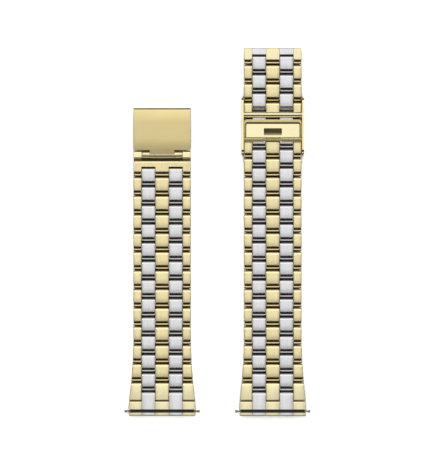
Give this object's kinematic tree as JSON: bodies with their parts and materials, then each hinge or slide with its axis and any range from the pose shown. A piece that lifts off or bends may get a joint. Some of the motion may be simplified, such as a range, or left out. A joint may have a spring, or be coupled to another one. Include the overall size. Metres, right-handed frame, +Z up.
{
  "type": "watch bracelet",
  "caption": "Two-part metal watch bracelet of staggered gold and steel bricks, with spring-bar ends, a hinged cover plate with a hook and a sliding lock clamp.",
  "frame": {"origin": "on the table under the middle of the two halves as they lie side by side", "axes": "+Z up, out of the wearer's wrist; +Y along the halves from the watch end to the clasp end; +X from the short half to the long half"},
  "size_m": [0.056, 0.1104, 0.0054],
  "materials": {
    "links": "gold-toned and bare steel bricks, tops brushed along the strap, ends polished",
    "lug_ends": "two-tone bands, finely brushed",
    "end_links": "gold-toned, brushed top, polished round edges",
    "brushed_gold": "gold-toned, satin brushed across the strap",
    "polished_gold": "gold-toned, mirror polished",
    "steel": "bare steel, turned and polished"
  },
  "bodies": {
    "short_link_06": {"short_link_06": "links"},
    "short_link_01": {"short_link_01": "links"},
    "short_link_02": {"short_link_02": "links"},
    "short_link_03": {"short_link_03": "links"},
    "short_link_04": {"short_link_04": "links"},
    "short_link_05": {"short_link_05": "links"},
    "short_link_07": {"short_link_07": "links"},
    "short_link_08": {"short_link_08": "links"},
    "short_link_09": {"short_link_09": "links"},
    "short_link_10": {"short_link_10": "links"},
    "short_link_11": {"short_link_11": "links"},
    "short_link_12": {"short_link_12": "links"},
    "long_link_01": {"long_link_01": "links"},
    "long_link_02": {"long_link_02": "links"},
    "long_link_03": {"long_link_03": "links"},
    "long_link_04": {"long_link_04": "links"},
    "long_link_05": {"long_link_05": "links"},
    "long_link_06": {"long_link_06": "links"},
    "long_link_07": {"long_link_07": "links"},
    "long_link_08": {"long_link_08": "links"},
    "long_link_09": {"long_link_09": "links"},
    "long_link_10": {"long_link_10": "links"},
    "long_link_11": {"long_link_11": "links"},
    "long_link_12": {"long_link_12": "links"},
    "clamped_links": {"long_link_13": "links", "long_link_14": "links", "long_link_15": "links", "long_link_16": "links", "long_link_17": "links"},
    "long_link_18": {"long_link_18": "links"},
    "short_lug_end": {"short_lug_end": "lug_ends"},
    "long_lug_end": {"long_lug_end": "lug_ends"},
    "short_end_link": {"short_end_link": "end_links", "cover_hinge_pin": "polished_gold"},
    "long_free_end": {"long_free_end": "end_links"},
    "cover": {"cover_plate": "brushed_gold", "cover_hook": "polished_gold"},
    "clamp": {"clamp_channel": "polished_gold", "clamp_cross_bar": "polished_gold", "flap_hinge_pin": "polished_gold"},
    "lock_flap": {"lock_flap": "polished_gold"},
    "short_spring_bar": {"short_bar_tube": "steel", "short_bar_spring": "steel"},
    "short_bar_tip_left": {"short_bar_tip_left": "steel"},
    "short_bar_tip_right": {"short_bar_tip_right": "steel"},
    "long_spring_bar": {"long_bar_tube": "steel", "long_bar_spring": "steel"},
    "long_bar_tip_left": {"long_bar_tip_left": "steel"},
    "long_bar_tip_right": {"long_bar_tip_right": "steel"}
  },
  "joints": [
    {"name": "long_half_lift", "type": "slide", "parent": "short_link_06", "child": "clamped_links", "axis": [0, 0, 1], "range_m": [0, 0.06]},
    {"name": "cover_hinge", "type": "hinge", "parent": "short_end_link", "child": "cover", "pos_m": [-0.0166, 0.02315, 0.00125], "axis": [1, 0, 0], "range_deg": [-20, 100]},
    {"name": "clamp_slide", "type": "slide", "parent": "clamped_links", "child": "clamp", "axis": [0, 1, 0], "range_m": [-0.0056, 0.0056]},
    {"name": "flap_hinge", "type": "hinge", "parent": "clamp", "child": "lock_flap", "pos_m": [0.0166, 0.02772, 0.00412], "axis": [1, 0, 0], "range_deg": [0, 85]},
    {"name": "short_bar_spin", "type": "hinge", "parent": "short_lug_end", "child": "short_spring_bar", "pos_m": [-0.0166, -0.0538, 0.00125], "axis": [1, 0, 0], "continuous": true},
    {"name": "short_tip_left_press", "type": "slide", "parent": "short_spring_bar", "child": "short_bar_tip_left", "axis": [1, 0, 0], "range_m": [0, 0.0013], "stiffness_N_per_m": 200, "springref_m": -0.002, "deforming": ["short_bar_spring"]},
    {"name": "short_tip_right_press", "type": "slide", "parent": "short_spring_bar", "child": "short_bar_tip_right", "axis": [-1, 0, 0], "range_m": [0, 0.0013], "stiffness_N_per_m": 200, "springref_m": -0.002, "deforming": ["short_bar_spring"]},
    {"name": "long_bar_spin", "type": "hinge", "parent": "long_lug_end", "child": "long_spring_bar", "pos_m": [0.0166, -0.0538, 0.002], "axis": [1, 0, 0], "continuous": true},
    {"name": "long_tip_left_press", "type": "slide", "parent": "long_spring_bar", "child": "long_bar_tip_left", "axis": [1, 0, 0], "range_m": [0, 0.0013], "stiffness_N_per_m": 200, "springref_m": -0.002, "deforming": ["long_bar_spring"]},
    {"name": "long_tip_right_press", "type": "slide", "parent": "long_spring_bar", "child": "long_bar_tip_right", "axis": [-1, 0, 0], "range_m": [0, 0.0013], "stiffness_N_per_m": 200, "springref_m": -0.002, "deforming": ["long_bar_spring"]},
    {"name": "short_bend_00", "type": "hinge", "parent": "short_link_01", "child": "short_lug_end", "pos_m": [-0.0166, -0.0492, 0.00125], "axis": [1, 0, 0], "range_deg": [-20, 20]},
    {"name": "short_bend_01", "type": "hinge", "parent": "short_link_02", "child": "short_link_01", "pos_m": [-0.0166, -0.0436, 0.00125], "axis": [1, 0, 0], "range_deg": [-20, 20]},
    {"name": "short_bend_02", "type": "hinge", "parent": "short_link_03", "child": "short_link_02", "pos_m": [-0.0166, -0.038, 0.00125], "axis": [1, 0, 0], "range_deg": [-20, 20]},
    {"name": "short_bend_03", "type": "hinge", "parent": "short_link_04", "child": "short_link_03", "pos_m": [-0.0166, -0.0324, 0.00125], "axis": [1, 0, 0], "range_deg": [-20, 20]},
    {"name": "short_bend_04", "type": "hinge", "parent": "short_link_05", "child": "short_link_04", "pos_m": [-0.0166, -0.0268, 0.00125], "axis": [1, 0, 0], "range_deg": [-20, 20]},
    {"name": "short_bend_05", "type": "hinge", "parent": "short_link_06", "child": "short_link_05", "pos_m": [-0.0166, -0.0212, 0.00125], "axis": [1, 0, 0], "range_deg": [-20, 20]},
    {"name": "short_bend_06", "type": "hinge", "parent": "short_link_06", "child": "short_link_07", "pos_m": [-0.0166, -0.0156, 0.00125], "axis": [-1, 0, 0], "range_deg": [-20, 20]},
    {"name": "short_bend_07", "type": "hinge", "parent": "short_link_07", "child": "short_link_08", "pos_m": [-0.0166, -0.01, 0.00125], "axis": [-1, 0, 0], "range_deg": [-20, 20]},
    {"name": "short_bend_08", "type": "hinge", "parent": "short_link_08", "child": "short_link_09", "pos_m": [-0.0166, -0.0044, 0.00125], "axis": [-1, 0, 0], "range_deg": [-20, 20]},
    {"name": "short_bend_09", "type": "hinge", "parent": "short_link_09", "child": "short_link_10", "pos_m": [-0.0166, 0.0012, 0.00125], "axis": [-1, 0, 0], "range_deg": [-20, 20]},
    {"name": "short_bend_10", "type": "hinge", "parent": "short_link_10", "child": "short_link_11", "pos_m": [-0.0166, 0.0068, 0.00125], "axis": [-1, 0, 0], "range_deg": [-20, 20]},
    {"name": "short_bend_11", "type": "hinge", "parent": "short_link_11", "child": "short_link_12", "pos_m": [-0.0166, 0.0124, 0.00125], "axis": [-1, 0, 0], "range_deg": [-20, 20]},
    {"name": "short_bend_12", "type": "hinge", "parent": "short_link_12", "child": "short_end_link", "pos_m": [-0.0166, 0.018, 0.00125], "axis": [-1, 0, 0], "range_deg": [-20, 20]},
    {"name": "long_bend_00", "type": "hinge", "parent": "long_link_01", "child": "long_lug_end", "pos_m": [0.0166, -0.0492, 0.002], "axis": [1, 0, 0], "range_deg": [-20, 20]},
    {"name": "long_bend_01", "type": "hinge", "parent": "long_link_02", "child": "long_link_01", "pos_m": [0.0166, -0.0436, 0.002], "axis": [1, 0, 0], "range_deg": [-20, 20]},
    {"name": "long_bend_02", "type": "hinge", "parent": "long_link_03", "child": "long_link_02", "pos_m": [0.0166, -0.038, 0.002], "axis": [1, 0, 0], "range_deg": [-20, 20]},
    {"name": "long_bend_03", "type": "hinge", "parent": "long_link_04", "child": "long_link_03", "pos_m": [0.0166, -0.0324, 0.002], "axis": [1, 0, 0], "range_deg": [-20, 20]},
    {"name": "long_bend_04", "type": "hinge", "parent": "long_link_05", "child": "long_link_04", "pos_m": [0.0166, -0.0268, 0.002], "axis": [1, 0, 0], "range_deg": [-20, 20]},
    {"name": "long_bend_05", "type": "hinge", "parent": "long_link_06", "child": "long_link_05", "pos_m": [0.0166, -0.0212, 0.002], "axis": [1, 0, 0], "range_deg": [-20, 20]},
    {"name": "long_bend_06", "type": "hinge", "parent": "long_link_07", "child": "long_link_06", "pos_m": [0.0166, -0.0156, 0.002], "axis": [1, 0, 0], "range_deg": [-20, 20]},
    {"name": "long_bend_07", "type": "hinge", "parent": "long_link_08", "child": "long_link_07", "pos_m": [0.0166, -0.01, 0.002], "axis": [1, 0, 0], "range_deg": [-20, 20]},
    {"name": "long_bend_08", "type": "hinge", "parent": "long_link_09", "child": "long_link_08", "pos_m": [0.0166, -0.0044, 0.002], "axis": [1, 0, 0], "range_deg": [-20, 20]},
    {"name": "long_bend_09", "type": "hinge", "parent": "long_link_10", "child": "long_link_09", "pos_m": [0.0166, 0.0012, 0.002], "axis": [1, 0, 0], "range_deg": [-20, 20]},
    {"name": "long_bend_10", "type": "hinge", "parent": "long_link_11", "child": "long_link_10", "pos_m": [0.0166, 0.0068, 0.002], "axis": [1, 0, 0], "range_deg": [-20, 20]},
    {"name": "long_bend_11", "type": "hinge", "parent": "long_link_12", "child": "long_link_11", "pos_m": [0.0166, 0.0124, 0.002], "axis": [1, 0, 0], "range_deg": [-20, 20]},
    {"name": "long_bend_12", "type": "hinge", "parent": "clamped_links", "child": "long_link_12", "pos_m": [0.0166, 0.018, 0.002], "axis": [1, 0, 0], "range_deg": [-20, 20]},
    {"name": "long_bend_17", "type": "hinge", "parent": "clamped_links", "child": "long_link_18", "pos_m": [0.0166, 0.046, 0.002], "axis": [-1, 0, 0], "range_deg": [-20, 20]},
    {"name": "long_bend_18", "type": "hinge", "parent": "long_link_18", "child": "long_free_end", "pos_m": [0.0166, 0.0516, 0.002], "axis": [-1, 0, 0], "range_deg": [-20, 20]}
  ]
}
